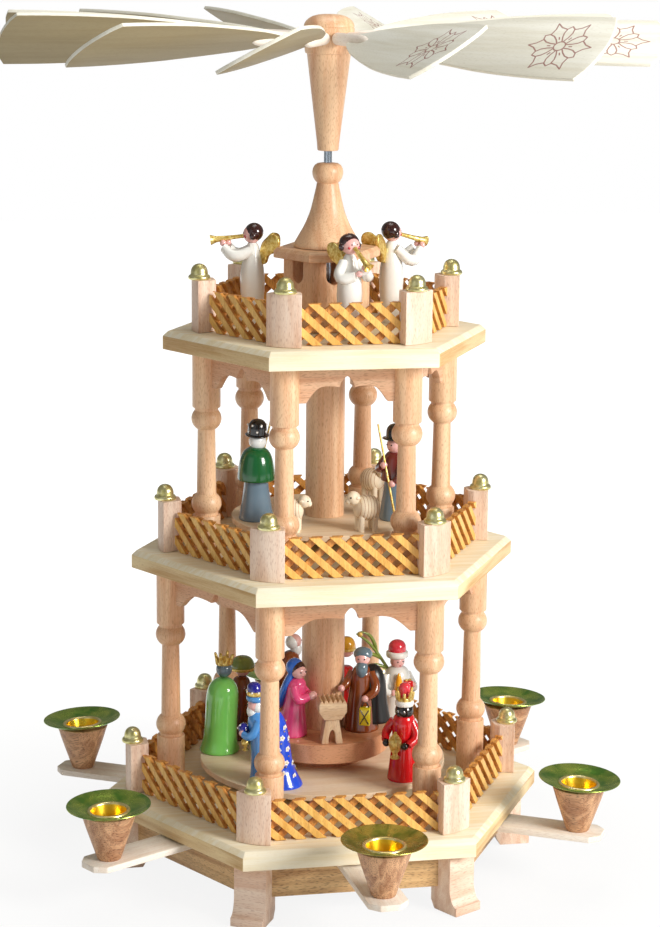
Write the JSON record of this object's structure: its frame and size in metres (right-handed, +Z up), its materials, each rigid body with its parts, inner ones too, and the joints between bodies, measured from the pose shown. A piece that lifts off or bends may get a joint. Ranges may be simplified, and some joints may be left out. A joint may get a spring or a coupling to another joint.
{
  "type": "candle carousel",
  "caption": "Tiered hexagonal wooden candle carousel: a bladed rotor turns decks of painted figures between fenced, arched galleries above sliding candle arms with brass pans.",
  "frame": {"origin": "on the axis of the rotor, level with the underside of the feet", "axes": "+Z up along the rotor axis; a flat side of each hexagonal plate faces -Y, and its corners lie on +X and -X"},
  "size_m": [0.3301, 0.3302, 0.442],
  "materials": {
    "spruce": "satin",
    "beech": "satin",
    "limewood": "matte",
    "brass": "lacquered",
    "steel": "polished",
    "green_lacquer": "gloss",
    "blue_lacquer": "gloss",
    "red_lacquer": "gloss",
    "ivory_lacquer": "gloss",
    "pink_lacquer": "gloss",
    "brown_lacquer": "gloss",
    "moss_lacquer": "gloss",
    "umber_lacquer": "gloss",
    "white_lacquer": "gloss"
  },
  "bodies": {
    "stand": {"base_plate": "spruce", "middle_plate": "spruce", "top_plate": "spruce", "plinth": "beech", "lower_fence": "beech", "middle_fence": "beech", "upper_fence": "beech", "turret": "beech", "spire": "beech", "lower_column_1": "beech", "lower_column_2": "beech", "lower_column_3": "beech", "lower_column_4": "beech", "lower_column_5": "beech", "lower_column_6": "beech", "upper_column_1": "beech", "upper_column_2": "beech", "upper_column_3": "beech", "upper_column_4": "beech", "upper_column_5": "beech", "upper_column_6": "beech", "angel_front": "white_lacquer", "angel_right": "white_lacquer", "angel_left": "white_lacquer"},
    "rotor": {"shaft": "steel", "rotor_head": "beech", "lower_turntable": "spruce", "upper_turntable": "spruce", "king_green": "green_lacquer", "king_blue": "blue_lacquer", "king_red": "red_lacquer", "servant_white": "ivory_lacquer", "mary": "pink_lacquer", "joseph": "brown_lacquer", "shepherd_green": "moss_lacquer", "shepherd_brown": "umber_lacquer"},
    "arm_1": {"candle_arm_1": "beech", "drip_pan_1": "brass"},
    "arm_2": {"candle_arm_2": "beech", "drip_pan_2": "brass"},
    "arm_3": {"candle_arm_3": "beech", "drip_pan_3": "brass"},
    "arm_4": {"candle_arm_4": "beech", "drip_pan_4": "brass"},
    "arm_5": {"candle_arm_5": "beech", "drip_pan_5": "brass"},
    "arm_6": {"candle_arm_6": "beech", "drip_pan_6": "brass"},
    "vane_1": {"blade_1": "limewood"},
    "vane_2": {"blade_2": "limewood"},
    "vane_3": {"blade_3": "limewood"},
    "vane_4": {"blade_4": "limewood"},
    "vane_5": {"blade_5": "limewood"},
    "vane_6": {"blade_6": "limewood"},
    "vane_7": {"blade_7": "limewood"},
    "vane_8": {"blade_8": "limewood"},
    "vane_9": {"blade_9": "limewood"},
    "vane_10": {"blade_10": "limewood"},
    "vane_11": {"blade_11": "limewood"},
    "vane_12": {"blade_12": "limewood"}
  },
  "joints": [
    {"name": "rotor_spin", "type": "hinge", "parent": "stand", "child": "rotor", "pos_m": [0, 0, 0.036], "axis": [0, 0, 1], "continuous": true},
    {"name": "blade_pitch_1", "type": "hinge", "parent": "rotor", "child": "vane_1", "pos_m": [0.01268, 0.00176, 0.42795], "axis": [0.9905, 0.1374, 0], "range_deg": [-15, 15]},
    {"name": "blade_pitch_2", "type": "hinge", "parent": "rotor", "child": "vane_2", "pos_m": [0.0101, 0.00786, 0.42795], "axis": [0.7891, 0.6143, 0], "range_deg": [-15, 15]},
    {"name": "blade_pitch_3", "type": "hinge", "parent": "rotor", "child": "vane_3", "pos_m": [0.00482, 0.01186, 0.42795], "axis": [0.3762, 0.9265, 0], "range_deg": [-15, 15]},
    {"name": "blade_pitch_4", "type": "hinge", "parent": "rotor", "child": "vane_4", "pos_m": [-0.00176, 0.01268, 0.42795], "axis": [-0.1374, 0.9905, 0], "range_deg": [-15, 15]},
    {"name": "blade_pitch_5", "type": "hinge", "parent": "rotor", "child": "vane_5", "pos_m": [-0.00786, 0.0101, 0.42795], "axis": [-0.6143, 0.7891, 0], "range_deg": [-15, 15]},
    {"name": "blade_pitch_6", "type": "hinge", "parent": "rotor", "child": "vane_6", "pos_m": [-0.01186, 0.00482, 0.42795], "axis": [-0.9265, 0.3762, 0], "range_deg": [-15, 15]},
    {"name": "blade_pitch_7", "type": "hinge", "parent": "rotor", "child": "vane_7", "pos_m": [-0.01268, -0.00176, 0.42795], "axis": [-0.9905, -0.1374, 0], "range_deg": [-15, 15]},
    {"name": "blade_pitch_8", "type": "hinge", "parent": "rotor", "child": "vane_8", "pos_m": [-0.0101, -0.00786, 0.42795], "axis": [-0.7891, -0.6143, 0], "range_deg": [-15, 15]},
    {"name": "blade_pitch_9", "type": "hinge", "parent": "rotor", "child": "vane_9", "pos_m": [-0.00482, -0.01186, 0.42795], "axis": [-0.3762, -0.9265, 0], "range_deg": [-15, 15]},
    {"name": "blade_pitch_10", "type": "hinge", "parent": "rotor", "child": "vane_10", "pos_m": [0.00176, -0.01268, 0.42795], "axis": [0.1374, -0.9905, 0], "range_deg": [-15, 15]},
    {"name": "blade_pitch_11", "type": "hinge", "parent": "rotor", "child": "vane_11", "pos_m": [0.00786, -0.0101, 0.42795], "axis": [0.6143, -0.7891, 0], "range_deg": [-15, 15]},
    {"name": "blade_pitch_12", "type": "hinge", "parent": "rotor", "child": "vane_12", "pos_m": [0.01186, -0.00482, 0.42795], "axis": [0.9265, -0.3762, 0], "range_deg": [-15, 15]},
    {"name": "arm_slide_1", "type": "slide", "parent": "stand", "child": "arm_1", "axis": [0.0698, -0.9976, 0], "range_m": [-0.015, 0.02]},
    {"name": "arm_slide_2", "type": "slide", "parent": "stand", "child": "arm_2", "axis": [0.866, -0.5, 0], "range_m": [-0.015, 0.02]},
    {"name": "arm_slide_3", "type": "slide", "parent": "stand", "child": "arm_3", "axis": [0.866, 0.5, 0], "range_m": [-0.015, 0.02]},
    {"name": "arm_slide_4", "type": "slide", "parent": "stand", "child": "arm_4", "axis": [0, 1, 0], "range_m": [-0.015, 0.02]},
    {"name": "arm_slide_5", "type": "slide", "parent": "stand", "child": "arm_5", "axis": [-0.866, 0.5, 0], "range_m": [-0.015, 0.02]},
    {"name": "arm_slide_6", "type": "slide", "parent": "stand", "child": "arm_6", "axis": [-0.866, -0.5, 0], "range_m": [-0.015, 0.02]}
  ]
}
